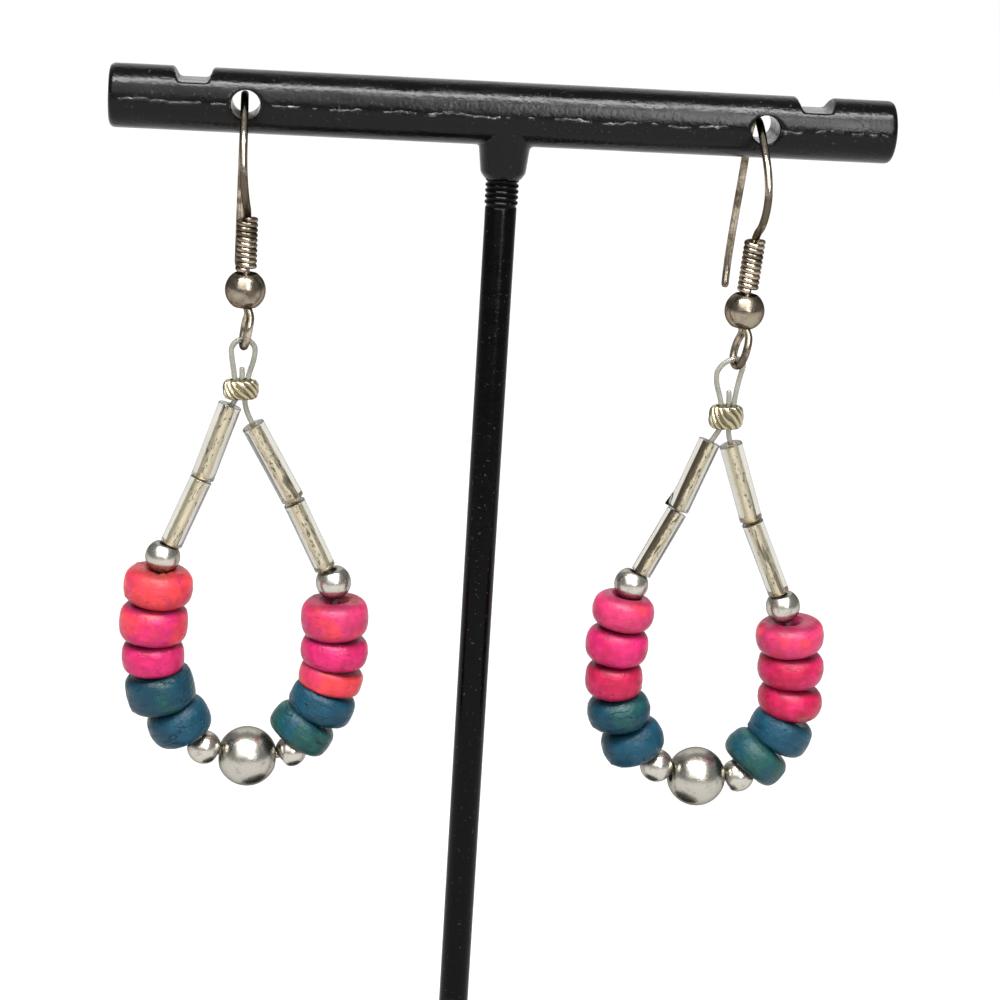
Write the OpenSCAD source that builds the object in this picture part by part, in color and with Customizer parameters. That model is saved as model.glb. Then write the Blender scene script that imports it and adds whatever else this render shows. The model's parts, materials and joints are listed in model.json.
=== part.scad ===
// A pair of beaded drop earrings on a plain T-bar stand, in millimetres.
// Each earring is an ear wire with a coil and a ball, and a teardrop loop of beads on nylon thread.
// Heights in the tables are measured down from the middle of the bar.

/* [Stand] */
// Height of the middle of the bar above the table
bar_z = 115; // [90:1:140]
// Diameter of the bar
bar_d = 5.5; // [5:0.1:7]
// Length of the bar
bar_l = 68.3; // [64:0.1:80]
// Diameter of the two holes that the ear wires hang in
hole_d = 2.5; // [2.3:0.1:3]
// Distance from the pole to each hole
hole_x = 22.5; // [20:0.5:26]
// Diameter of the pole
pole_d = 2.8; // [2.6:0.1:4]
// Diameter of the round foot
base_d = 58; // [50:1:80]
// Thickness of the round foot
base_h = 4; // [3:0.5:8]

/* [Ear wire] */
// Thickness of the ear wire
wire_d = 0.7; // [0.6:0.05:0.75]
// Thickness of the wire that the coil is wound from
coil_wire_d = 0.45; // [0.35:0.05:0.45]
// Diameter of the metal ball under the coil
ball_d = 3.55; // [3.4:0.05:3.8]

/* [Beads] */
// Thickness of the nylon thread
thread_d = 0.48; // [0.35:0.01:0.5]
// Hole through a glass bead
glass_bore = 1.0; // [0.8:0.05:1.2]
// Hole through a metal bead
silver_bore = 1.6; // [1.2:0.1:1.6]
// Hole through a wooden bead
wood_bore = 1.8; // [1.6:0.1:2]
// Width of the dished mouth of a wooden bead's hole
wood_mouth = 3.0; // [2.4:0.1:3.2]
// Share of a wooden bead's length that each edge radius takes
wood_round = 0.42; // [0.3:0.01:0.45]

/* [Hidden] */
fine = 48;

// Bar
bar_edge = 0.5;
hole_chamfer = 0.15;
notch_x = 27;
notch_floor = 2.5;
notch_mouth = 3.5;
notch_deep = 1.1;
boss_top_d = 5.0;
boss_low_d = 4.0;
boss_tip_d = 3.2;
boss_taper_z = -5.1;
boss_tip_z = -5.7;
boss_root_z = -0.6;
socket_d = 3.1;
socket_z = -2.9;

// Threaded top of the pole, and the hole it stands in
screw_top_z = -3.0;
screw_low_z = -8.2;
screw_pitch = 0.5;
screw_crest_d = 2.96;
screw_root_d = 2.62;
screw_blank = 0.35;
foot_hole_d = 2.9;
foot_hole_floor = 1.0;
foot_gap = 0.05;
foot_edge = 0.8;
foot_collar_d = 7;
foot_collar_h = 1.2;

// Each ear wire and each drop hangs a little out of line with its hole.
// Columns: side, hole as a multiple of hole_x, turn of the drop, x of the coil's top, x of the
// eye, extra lean of the eye, turn of the eye
SIDES = ["left", "right"];
PLACE = [
    ["left", -1, 9, 0.44, 0.44, 9, 9],
    ["right", 1, 8, -0.25, -0.95, 9, 14],
];
HOLE = 1;
TURN = 2;
COIL_X = 3;
EYE_X = 4;
EYE_LEAN = 5;
EYE_TURN = 6;

// Distance of the coil, the ball and the drop in front of the bar's axis
drop_y = -3.2;

// Route of each ear wire from its tip over the hole to the top of the coil.
// Columns: y, z, x of the left wire, x of the right wire
HOOK_ROUTE = [
    [3.2, -15.0, -0.36, -1.4],
    [3.65, -13.4, -0.36, -1.28],
    [3.8, -11.0, -0.34, -1.1],
    [3.6, -7.6, -0.3, -0.86],
    [3.35, -4.6, -0.26, -0.64],
    [3.3, -2.4, -0.22, -0.49],
    [3.0, -0.9, -0.2, -0.42],
    [2.2, 0.0, -0.18, -0.4],
    [0.9, 0.48, -0.15, -0.38],
    [-0.6, 0.45, -0.12, -0.36],
    [-2.0, -0.2, -0.09, -0.32],
    [-3.4, -1.3, -0.06, -0.25],
    [-4.7, -2.5, -0.03, -0.14],
    [-5.6, -3.9, 0.0, -0.03],
    [-5.85, -5.3, 0.06, 0.04],
    [-5.5, -6.9, 0.2, 0.0],
    [-4.7, -8.1, 0.34, -0.1],
    [-3.75, -8.8, 0.42, -0.2],
    [-3.25, -9.4, 0.44, -0.25],
];
coil_top_z = -9.3;
coil_low_z = -14.1;
coil_turns = 10;
coil_gap = 0.08;
ball_z = -15.85;
ball_bore = 1.95;
// Wire through the coil and round the eye, as offsets from its axis and heights
EYE_ROUTE = [
    [0, -10.2], [0, -12], [0, -14.2], [-0.2, -15], [-0.4, -15.9], [-0.42, -17.4], [-0.78, -18.1],
    [-1.12, -18.95], [-1.12, -19.85], [-0.8, -20.55], [0, -20.9], [0.8, -20.55],
    [1.12, -19.85], [1.12, -18.95], [0.78, -18.1], [0.42, -17.4], [0.4, -16],
];
eye_bend_z = -16.9;
eye_bend_l = 1.2;
eye_pivot_z = -20.6;
tip_l = 0.14;
tip_d = 0.4;
eye_low_z = -20.9;
seat_gap = 0.05;
wire_sides = 8;
wire_steps = 3;

// Thread loop over the eye, and the crimp that grips it.
// Columns: side, crimp x, crimp z, crimp lean, crimp height, loop sag, loop radius, stub x, stub z
KNOT = [
    ["left", -0.1, -24.75, 0, 1.75, 0.02, 1.05, -0.05, -22.8],
    ["right", -0.45, -25.6, 2, 2.05, -0.5, 1.12, -0.4, -23.2],
];
CRIMP_X = 1;
CRIMP_Z = 2;
CRIMP_LEAN = 3;
CRIMP_H = 4;
LOOP_SAG = 5;
LOOP_R = 6;
STUB_X = 7;
STUB_Z = 8;
crimp_w = 3.1;
crimp_t = 1.9;
crimp_slot_w = 1.86;
crimp_slot_t = 0.66;
strand_x = 0.57;
crimp_flutes = 8;
flute_deep = 0.07;
flute_slant = 70;
crimp_belly = 0.14;
crimp_rings = 6;
crimp_points = 48;

// Beads in the order in which the thread meets them: down the left strand and up the right one.
// The lean is the turn of a bead's axis from straight down towards the right.
// The x is measured from the eye, along the drop.
// Columns: name, kind, width, length, x, z, lean, colour
LEFT_BEADS = [
    ["bugle_1", "glass", 2.1, 7.0, -2.15, -29.5, -19, "wheat"],
    ["bugle_2", "glass", 2.0, 6.5, -4.65, -35.95, -23, "wheat"],
    ["silver_1", "silver", 3.1, 2.4, -6.65, -40.15, -16, "silver"],
    ["wood_1", "wood", 6.2, 3.35, -7, -42.85, -4, "tomato"],
    ["wood_2", "wood", 6.2, 3.35, -7.35, -46.3, -2, "deeppink"],
    ["wood_3", "wood", 5.6, 2.65, -7.35, -49.5, 2, "mediumvioletred"],
    ["wood_4", "wood", 6.2, 3.1, -6.65, -52.7, 13, "teal"],
    ["wood_5", "wood", 5.8, 3.4, -4.85, -56.05, 25, "darkcyan"],
    ["silver_2", "silver", 3.1, 2.4, -2.55, -58.65, 58, "silver"],
    ["big_silver", "silver", 5.5, 5.0, 1.45, -59.7, 86, "silver"],
    ["silver_3", "silver", 2.9, 2.1, 5.5, -59.35, 130, "silver"],
    ["wood_6", "wood", 6.1, 2.7, 6.4, -57.2, 146, "darkslategray"],
    ["wood_7", "wood", 6.1, 2.55, 8.25, -54.6, 160, "darkcyan"],
    ["wood_8", "wood", 5.9, 1.95, 8.95, -52.1, 168, "tomato"],
    ["wood_9", "wood", 6.2, 2.55, 9.2, -49.5, 177, "mediumvioletred"],
    ["wood_10", "wood", 6.2, 3.4, 9.1, -46.25, 183, "deeppink"],
    ["silver_4", "silver", 3.2, 2.4, 8.85, -42.9, 197, "silver"],
    ["bugle_3", "glass", 2.0, 6.9, 6.5, -38.35, 206, "wheat"],
    ["bugle_4", "glass", 2.1, 7.8, 2.95, -31.45, 209, "wheat"],
];
RIGHT_BEADS = [
    ["bugle_1", "glass", 2.0, 6.8, -3, -31.05, -21, "wheat"],
    ["bugle_2", "glass", 1.9, 6.5, -5.75, -37.35, -27, "wheat"],
    ["silver_1", "silver", 3.1, 2.4, -8.05, -41.35, -20, "silver"],
    ["wood_1", "wood", 5.7, 3.05, -8.6, -43.9, -8, "hotpink"],
    ["wood_2", "wood", 5.8, 3.15, -8.95, -47.15, -4, "deeppink"],
    ["wood_3", "wood", 5.3, 3.05, -9, -50.45, 2, "crimson"],
    ["wood_4", "wood", 5.9, 2.9, -8.3, -53.6, 11, "teal"],
    ["wood_5", "wood", 5.9, 3.2, -6.7, -56.8, 24, "darkcyan"],
    ["silver_2", "silver", 3.1, 2.4, -4.2, -59.3, 58, "silver"],
    ["big_silver", "silver", 5.5, 5.0, -0.25, -60.55, 85, "silver"],
    ["silver_3", "silver", 3.1, 2.4, 3.85, -60.6, 120, "silver"],
    ["wood_6", "wood", 6.2, 2.85, 5.4, -58.8, 140, "darkslategray"],
    ["wood_7", "wood", 6.0, 2.75, 7.65, -56.2, 158, "darkcyan"],
    ["wood_8", "wood", 6.1, 2.75, 8.3, -53.0, 172, "crimson"],
    ["wood_9", "wood", 6.2, 2.9, 8.05, -49.8, 181, "crimson"],
    ["wood_10", "wood", 6.3, 2.95, 7.65, -46.65, 187, "hotpink"],
    ["silver_4", "silver", 3.15, 2.4, 6.7, -43.75, 197, "silver"],
    ["bugle_3", "glass", 2.0, 7.5, 4.55, -38.95, 205, "wheat"],
    ["bugle_4", "glass", 2.1, 7.5, 1.5, -31.7, 200, "wheat"],
];
BEADS = [LEFT_BEADS, RIGHT_BEADS];
NAME = 0;
KIND = 1;
WIDE = 2;
LONG = 3;
AT_X = 4;
AT_Z = 5;
LEAN = 6;
TINT = 7;
mouth_deep = 0.55;
glass_edge = 0.06;
thread_sides = 8;
thread_steps = 3;

WIRES = ["ear_hook", "hook_coil", "hook_ball", "thread", "crimp"];

// Vectors and paths
function unit(v) = v / norm(v);
function last(p) = p[len(p) - 1];
function tangents(p) =
    [for (i = [0 : len(p) - 1]) unit(p[min(i + 1, len(p) - 1)] - p[max(i - 1, 0)])];
function square_to(n, t) = unit(n - (n * t) * t);
function carried(t, n, i = 0) =
    i == len(t) ? [] : let (m = square_to(n, t[i])) concat([m], carried(t, m, i + 1));

// A smooth curve through every point of a route, with headings that suit uneven spacing
function heading(p, i) =
    i == 0 ? unit(p[1] - p[0]) :
    i == len(p) - 1 ? unit(p[i] - p[i - 1]) :
    let (a = p[i] - p[i - 1], b = p[i + 1] - p[i])
        unit(a * norm(b) / norm(a) + b * norm(a) / norm(b));
function blend(a, b, ha, hb, u) = let (far = norm(b - a), v = 1 - u)
    a * v * v * (1 + 2 * u) + b * u * u * (1 + 2 * v) + far * u * v * (ha * v - hb * u);
function smooth(p, steps) = concat(
    [for (i = [0 : len(p) - 2]) for (k = [0 : steps - 1])
        blend(p[i], p[i + 1], heading(p, i), heading(p, i + 1), k / steps)],
    [last(p)]
);

// Rings round a path, joined into one closed skin
function ring(at, t, n, r, sides) = let (b = cross(t, n))
    [for (k = [0 : sides - 1]) at + r * (cos(360 * k / sides) * n + sin(360 * k / sides) * b)];
function skin(rings, sides) = concat(
    [[for (k = [0 : sides - 1]) k]],
    [for (i = [0 : rings - 2]) for (k = [0 : sides - 1]) let (a = i * sides, m = (k + 1) % sides)
        each [[a + k, a + sides + k, a + m], [a + m, a + sides + k, a + sides + m]]],
    [[for (k = [sides - 1 : -1 : 0]) (rings - 1) * sides + k]]
);
module tube(path, d, sides, first, blunt = false) {
    t = tangents(path);
    n = carried(t, first);
    points = [for (i = [0 : len(path) - 1])
        each ring(path[i], t[i], n[i], (blunt && i == 0 ? tip_d : d) / 2, sides)];
    polyhedron(points, skin(len(path), sides));
}

// Each ear wire is placed from its hole, and each drop from the bottom of its eye
module at_hole(k) {
    translate([PLACE[k][HOLE] * hole_x, 0, bar_z])
        children();
}
module at_eye(k) {
    at_hole(k)
        translate([eye_low_x(k), drop_y, 0])
            rotate([0, 0, PLACE[k][TURN]])
                children();
}

// The coil, the ball and the eye share a straight axis that leans a little
function slope(k) =
    (PLACE[k][COIL_X] - PLACE[k][EYE_X]) / (coil_top_z - eye_low_z);
function axis_x(k, z) = PLACE[k][COIL_X] + slope(k) * (z - coil_top_z);
function eye_x(k, z) = axis_x(k, z) + tan(PLACE[k][EYE_LEAN]) * (z - eye_pivot_z)
    * min(max((eye_bend_z - z) / eye_bend_l, 0), 1);
function eye_low_x(k) = eye_x(k, eye_low_z);

module t_bar() {
    color("#1b1b1d")
        translate([0, 0, bar_z])
            difference() {
                union() {
                    bar_rod();
                    boss();
                }
                for (s = [-1, 1]) {
                    ear_hole(s * hole_x);
                    top_notch(s * notch_x);
                }
                translate([0, 0, boss_tip_z - 1])
                    cylinder(d = socket_d, h = socket_z - boss_tip_z + 1, $fn = fine);
            }
}

module bar_rod() {
    r = bar_d / 2;
    translate([-bar_l / 2, 0, 0])
        rotate([0, 90, 0])
            rotate_extrude($fn = fine)
                union() {
                    square([r - bar_edge, bar_l]);
                    translate([0, bar_edge])
                        square([r, bar_l - 2 * bar_edge]);
                    for (z = [bar_edge, bar_l - bar_edge])
                        translate([r - bar_edge, z])
                            circle(r = bar_edge, $fn = fine);
                }
}

module boss() {
    translate([0, 0, boss_taper_z])
        cylinder(d1 = boss_low_d, d2 = boss_top_d, h = boss_root_z - boss_taper_z, $fn = fine);
    translate([0, 0, boss_tip_z])
        cylinder(d1 = boss_tip_d, d2 = boss_low_d, h = boss_taper_z - boss_tip_z, $fn = fine);
}

module ear_hole(x) {
    r = bar_d / 2;
    translate([x, 0, 0])
        rotate([90, 0, 0]) {
            cylinder(d = hole_d, h = bar_d + 2, center = true, $fn = fine);
            for (s = [0, 180])
                rotate([0, s, 0])
                    translate([0, 0, r - 3 * hole_chamfer])
                        cylinder(d1 = hole_d - hole_chamfer, d2 = hole_d + 5 * hole_chamfer,
                            h = 4 * hole_chamfer, $fn = fine);
        }
}

module top_notch(x) {
    r = bar_d / 2;
    translate([x, 0, r - notch_deep])
        rotate([90, 0, 0])
            linear_extrude(bar_d + 2, center = true)
                polygon([[-notch_floor / 2, 0], [notch_floor / 2, 0],
                    [notch_mouth / 2, notch_deep + 0.2], [-notch_mouth / 2, notch_deep + 0.2]]);
}

module pole() {
    rc = screw_crest_d / 2;
    rr = screw_root_d / 2;
    turns = floor((screw_top_z - screw_low_z - screw_blank) / screw_pitch);
    ridge = [for (i = [0 : turns - 1]) let (z = screw_top_z - i * screw_pitch)
        each [[rr, z], [rc, z - 0.18], [rc, z - 0.3], [rr, z - 0.48]]];
    shaft = [[pole_d / 2, screw_low_z], [pole_d / 2, foot_hole_floor + foot_gap - bar_z],
        [0, foot_hole_floor + foot_gap - bar_z]];
    color("#1b1b1d")
        translate([0, 0, bar_z])
            rotate_extrude($fn = fine)
                polygon(concat([[0, screw_top_z]], ridge, [[rr, screw_low_z + 0.1]], shaft));
}

module base() {
    r = base_d / 2;
    color("#1b1b1d")
        difference() {
            rotate_extrude($fn = 2 * fine)
                union() {
                    square([r, base_h - foot_edge]);
                    square([r - foot_edge, base_h]);
                    translate([r - foot_edge, base_h - foot_edge])
                        circle(r = foot_edge, $fn = fine);
                    polygon([[0, base_h], [foot_collar_d / 2 + 0.6, base_h],
                        [foot_collar_d / 2, base_h + foot_collar_h], [0, base_h + foot_collar_h]]);
                }
            translate([0, 0, foot_hole_floor])
                cylinder(d = foot_hole_d, h = base_h + foot_collar_h, $fn = fine);
        }
}

function hook_stops(k) = let (a = PLACE[k][EYE_TURN]) concat(
    [for (p = HOOK_ROUTE) [p[2 + k], p[0], p[1]]],
    [for (p = EYE_ROUTE) [eye_x(k, p[1]) - p[0] * sin(a), drop_y + p[0] * cos(a), p[1]]]
);

module ear_hook(k) {
    route = smooth(hook_stops(k), wire_steps);
    tip = route[0] - tip_l * unit(route[1] - route[0]);
    color("#8f867b")
        at_hole(k)
            tube(concat([tip], route), wire_d, wire_sides, [1, 0, 0], blunt = true);
}

module hook_coil(k) {
    half = coil_wire_d / 2;
    r = wire_d / 2 + coil_gap + half;
    steps = coil_turns * 12;
    fall = coil_top_z - coil_low_z - 2 * half;
    path = [for (i = [0 : steps])
        let (a = 360 * coil_turns * i / steps, z = coil_top_z - half - fall * i / steps)
        [axis_x(k, z) + r * cos(a), drop_y + r * sin(a), z]];
    color("#97907f")
        at_hole(k)
            tube(path, coil_wire_d, 6, [1, 0, 0]);
}

module hook_ball(k) {
    color("#9a8f80")
        at_hole(k)
            translate([axis_x(k, ball_z), drop_y, ball_z])
                rotate([0, atan(slope(k)), 0])
                    difference() {
                        sphere(d = ball_d, $fn = fine);
                        cylinder(d = ball_bore, h = ball_d + 1, center = true, $fn = fine);
                    }
}

// The hinge of each drop: the top of its thread loop in the bottom of the eye
bight_z = eye_low_z + wire_d / 2 + thread_d / 2 + seat_gap;
function loop_point(k, a) = let (c = KNOT[k], r = c[LOOP_R])
    [r * cos(a) + c[LOOP_SAG] * (1 - sin(a)), bight_z - r + r * sin(a)];

// The thread in one run: stub, left strand, right strand, and the loop over the eye
function bead_stops(b) = let (dir = [sin(b[LEAN]), -cos(b[LEAN])], c = [b[AT_X], b[AT_Z]])
    b[KIND] == "glass" ? [c - 0.42 * b[LONG] * dir, c + 0.42 * b[LONG] * dir] : [c];
function crimp_point(c, side, up) = let (a = c[CRIMP_LEAN])
    [c[CRIMP_X] + side * cos(a) + up * sin(a), c[CRIMP_Z] + up * cos(a) - side * sin(a)];
function thread_stops(k) = let (c = KNOT[k], h = c[CRIMP_H] / 2) concat(
    [[c[STUB_X], c[STUB_Z]], crimp_point(c, 0.08, h + 0.2), crimp_point(c, -0.02, 0.35)],
    [crimp_point(c, -0.4, -h)],
    [for (b = BEADS[k]) each bead_stops(b)],
    [crimp_point(c, 0.35, -h), crimp_point(c, strand_x, 0), crimp_point(c, strand_x, h)],
    [for (a = [0 : 19 : 190]) loop_point(k, a)],
    [crimp_point(c, -strand_x, h), crimp_point(c, -strand_x, 0.42)]
);

module thread(k) {
    path = smooth([for (p = thread_stops(k)) [p[0], 0, p[1]]], thread_steps);
    color("#cfcdc6")
        at_eye(k)
            tube(path, thread_d, thread_sides, [0, 1, 0]);
}

// The crimp is a flattened barrel with slanted flutes and a slot for three strands
function crimp_shape(z, h) = let (u = 2 * z / h, belly = 1 - crimp_belly * u * u)
    [for (i = [0 : crimp_points - 1]) let (
        a = 360 * i / crimp_points,
        flute = 1 + flute_deep * cos(crimp_flutes * a + flute_slant * 2 * u),
        s = belly * flute
    ) [s * crimp_w / 2 * cos(a), s * crimp_t / 2 * sin(a), z]];

module crimp(k) {
    c = KNOT[k];
    h = c[CRIMP_H];
    points = [for (i = [0 : crimp_rings]) each crimp_shape(-h / 2 + h * i / crimp_rings, h)];
    color("#b9ad88")
        at_eye(k)
            translate([c[CRIMP_X], 0, c[CRIMP_Z]])
                rotate([0, c[CRIMP_LEAN], 0])
                    difference() {
                        polyhedron(points, [for (f = skin(crimp_rings + 1, crimp_points))
                            [for (i = [len(f) - 1 : -1 : 0]) f[i]]]);
                        cube([crimp_slot_w - crimp_slot_t, crimp_slot_t, h + 1], center = true);
                        for (s = [-1, 1])
                            translate([s * (crimp_slot_w - crimp_slot_t) / 2, 0, 0])
                                cylinder(d = crimp_slot_t, h = h + 1, center = true, $fn = 24);
                    }
}

module glass_bead(b) {
    r = b[WIDE] / 2;
    l = b[LONG] / 2;
    rotate_extrude($fn = fine)
        polygon([[glass_bore / 2, -l], [r - glass_edge, -l], [r, glass_edge - l],
            [r, l - glass_edge], [r - glass_edge, l], [glass_bore / 2, l]]);
}

module silver_bead(b) {
    difference() {
        intersection() {
            sphere(d = b[WIDE], $fn = fine);
            cylinder(d = b[WIDE] + 1, h = b[LONG], center = true, $fn = fine);
        }
        cylinder(d = silver_bore, h = b[LONG] + 1, center = true, $fn = fine);
    }
}

module wood_bead(b) {
    r = b[WIDE] / 2;
    l = b[LONG] / 2;
    e = wood_round * b[LONG];
    m = wood_mouth / 2;
    rotate_extrude($fn = fine)
        difference() {
            union() {
                translate([wood_bore / 2, -l])
                    square([r - e - wood_bore / 2, 2 * l]);
                translate([wood_bore / 2, e - l])
                    square([r - wood_bore / 2, 2 * (l - e)]);
                for (z = [e - l, l - e])
                    translate([r - e, z])
                        circle(r = e, $fn = fine);
            }
            translate([0, -l - 1])
                square([wood_bore / 2, 2 * l + 2]);
            for (s = [-1, 1])
                polygon([[0, s * (l - mouth_deep)], [wood_bore / 2, s * (l - mouth_deep)],
                    [m, s * l], [m, s * (l + 1)], [0, s * (l + 1)]]);
        }
}

module bead(k, b) {
    color(b[TINT])
        at_eye(k)
            translate([b[AT_X], 0, b[AT_Z]])
                rotate([0, 180 - b[LEAN], 0]) {
                    if (b[KIND] == "glass")
                        glass_bead(b);
                    if (b[KIND] == "silver")
                        silver_bead(b);
                    if (b[KIND] == "wood")
                        wood_bead(b);
                }
}

t_bar();
pole();
base();
for (k = [0, 1]) {
    ear_hook(k);
    hook_coil(k);
    hook_ball(k);
    thread(k);
    crimp(k);
    for (b = BEADS[k])
        bead(k, b);
}
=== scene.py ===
"""Dresses a pair of beaded drop earrings that hang on a plain black T-bar stand."""

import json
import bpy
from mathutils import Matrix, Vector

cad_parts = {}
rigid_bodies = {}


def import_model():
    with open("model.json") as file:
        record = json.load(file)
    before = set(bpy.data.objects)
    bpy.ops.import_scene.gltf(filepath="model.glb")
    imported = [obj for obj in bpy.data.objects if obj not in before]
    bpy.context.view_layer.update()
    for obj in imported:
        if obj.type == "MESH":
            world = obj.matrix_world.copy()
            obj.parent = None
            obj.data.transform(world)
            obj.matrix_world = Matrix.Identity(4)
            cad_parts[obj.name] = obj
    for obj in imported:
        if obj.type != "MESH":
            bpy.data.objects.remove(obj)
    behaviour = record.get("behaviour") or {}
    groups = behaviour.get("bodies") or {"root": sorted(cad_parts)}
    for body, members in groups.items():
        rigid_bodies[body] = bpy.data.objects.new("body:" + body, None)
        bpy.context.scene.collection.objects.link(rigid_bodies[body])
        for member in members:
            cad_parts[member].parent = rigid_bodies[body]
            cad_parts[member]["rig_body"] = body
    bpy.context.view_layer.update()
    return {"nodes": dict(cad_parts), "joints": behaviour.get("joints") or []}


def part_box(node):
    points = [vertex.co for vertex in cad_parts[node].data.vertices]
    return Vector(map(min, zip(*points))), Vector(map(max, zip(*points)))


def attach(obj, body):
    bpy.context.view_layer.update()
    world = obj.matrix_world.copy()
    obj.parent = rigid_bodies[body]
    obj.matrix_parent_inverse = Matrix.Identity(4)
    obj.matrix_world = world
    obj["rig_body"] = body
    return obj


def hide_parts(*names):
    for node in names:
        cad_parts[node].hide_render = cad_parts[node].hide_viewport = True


bl_info = {
    "name": "Beaded Drop Earrings",
    "version": (1, 0, 0),
    "blender": (4, 5, 0),
    "location": "3D View > Sidebar > Earrings",
    "description": "Builds the beads, ear wires, thread and stand of a pair of drop earrings",
    "category": "Object",
}

from math import acos, asin, atan2, copysign, cos, degrees, pi, radians, sin, sqrt

import bmesh
import bpy
import numpy as np
from bpy.props import FloatProperty, FloatVectorProperty, IntProperty, PointerProperty
from mathutils import Matrix, Vector, noise

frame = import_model()

MM = 0.001
TO_MM = 1000
SIDES = ("left", "right")
# Edges that bend more than this stay sharp
SHARP = radians(38)
# Degrees of a ball's arc that are left to the lip of its hole
LIP_ARC = 3

# The bar's lower and upper corner, its radius and the height of its middle
BAR_LOW, BAR_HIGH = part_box("t_bar")
BAR_RADIUS = (BAR_HIGH.y - BAR_LOW.y) / 2
BAR_Z = BAR_HIGH.z - BAR_RADIUS

# Each dyed wood: its dye, the dye that blots it, how much that covers, how dark its grain is
DYED_WOODS = {
    "coral": ("coral", "pink", 0.35, 0.14),
    "pink_coral": ("magenta", "coral", 0.8, 0.14),
    "pink": ("pink", "coral", 0.5, 0.16),
    "magenta": ("magenta", "red", 0.3, 0.18),
    "red": ("red", "magenta", 0.5, 0.18),
    "teal": ("teal", "green", 0.6, 0.5),
    "blue": ("blue", "teal", 0.3, 0.5),
    "green": ("green", "blue", 0.4, 0.5),
}
# The wood of each bead in the order of the nodes, wood_1 to wood_10
WOOD_ORDER = {
    "left": "coral pink_coral magenta teal blue green blue coral magenta pink".split(),
    "right": "pink magenta red teal blue green blue red red pink".split(),
}
# The last wooden bead of a strand and the first of the other, with metal beads between
STRAND_ENDS = {5, 6}
# How round the rims of each side's wooden beads are, of half their length
RIM = {"left": 0.54, "right": 0.68}
# How much of the play beside it a wooden bead fills with its own fullness
PRESSED = 0.42
# Wooden beads with a knocked corner: its place from the bead's middle and its reach, mm
CHIPPED = {"left_wood_10": ((-0.3, 1.4, 1.6), 1.5), "right_wood_8": ((2.6, 1.2, -1.1), 0.7),
           "left_wood_1": ((1.4, 0.2, 1.7), 0.9)}
# Each metal bead, and the wooden bead in whose dish it sits
BEDS = {"silver_1": "wood_1", "silver_2": "wood_5", "silver_3": "wood_6",
        "silver_4": "wood_10", "big_silver": None}
# Glass beads whose lining is darker down one side, and the one with a splinter
DARK_SIDED = ("right_bugle_1", "right_bugle_2")
SPURRED = "right_bugle_1"


# Values that the user may change, with their units, subtypes or limits

def number(name, description, default, **kind):
    return FloatProperty(name=name, description=description, default=default, **kind)


def whole(name, description, default, low, high):
    return IntProperty(name=name, description=description, default=default, min=low, max=high)


def colour(name, description, default):
    return FloatVectorProperty(name=name, description=description, default=default,
                               subtype="COLOR", min=0, max=1)


class StandSettings(bpy.types.PropertyGroup):
    black: colour("Black", "Colour of the bar, the pole and the foot", (0.0012, 0.0010, 0.0010))
    gloss: number("Roughness", "Roughness of the black paint", 0.18, min=0, max=1)
    bar_voxel: number("Bar Detail", "Size of the mesh faces on the bar", 0.14 * MM, unit="LENGTH")
    seam: number("Seam Height", "How far the moulding seam stands out", 0.12 * MM, unit="LENGTH")


class WireSettings(bpy.types.PropertyGroup):
    bright: colour("Bright Metal", "Nickel silver where it is clean", (0.51, 0.43, 0.33))
    tarnish: colour("Tarnish", "Nickel silver where it is tarnished", (0.100, 0.080, 0.058))
    coil_turns: whole("Coil Turns", "Turns of the fine wire round the ear wire", 10, 4, 16)
    smooth_levels: whole("Smoothing", "Subdivision of the wire and the thread", 2, 0, 3)


class ThreadSettings(bpy.types.PropertyGroup):
    nylon: colour("Nylon", "Colour of the thread", (0.34, 0.33, 0.275))
    plating: colour("Crimp Plating", "Colour of the crimp's lands", (0.40, 0.36, 0.25))
    groove: colour("Crimp Groove", "Colour down in the crimp's grooves", (0.17, 0.135, 0.065))
    grooves: whole("Grooves", "Grooves round the crimp", 13, 4, 20)


class BeadSettings(bpy.types.PropertyGroup):
    turn_steps: whole("Turning Steps", "Faces round each turned bead", 72, 16, 128)
    unevenness: number("Unevenness", "How uneven a wooden bead is", 0.07 * MM, unit="LENGTH")
    coral: colour("Coral", "Coral dye", (0.51, 0.032, 0.042))
    pink: colour("Pink", "Pink dye", (0.42, 0.022, 0.090))
    magenta: colour("Magenta", "Magenta dye", (0.44, 0.011, 0.093))
    red: colour("Red", "Coral red dye", (0.34, 0.006, 0.043))
    teal: colour("Teal", "Teal dye", (0.0015, 0.034, 0.057))
    blue: colour("Blue", "Blue dye", (0.002, 0.040, 0.070))
    green: colour("Green", "Green dye", (0.005, 0.049, 0.044))
    lining: colour("Lining", "Silver lining of the glass beads", (0.88, 0.80, 0.62))
    bright: colour("Plating", "Bright plating of the metal beads", (0.485, 0.46, 0.405))


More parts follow.
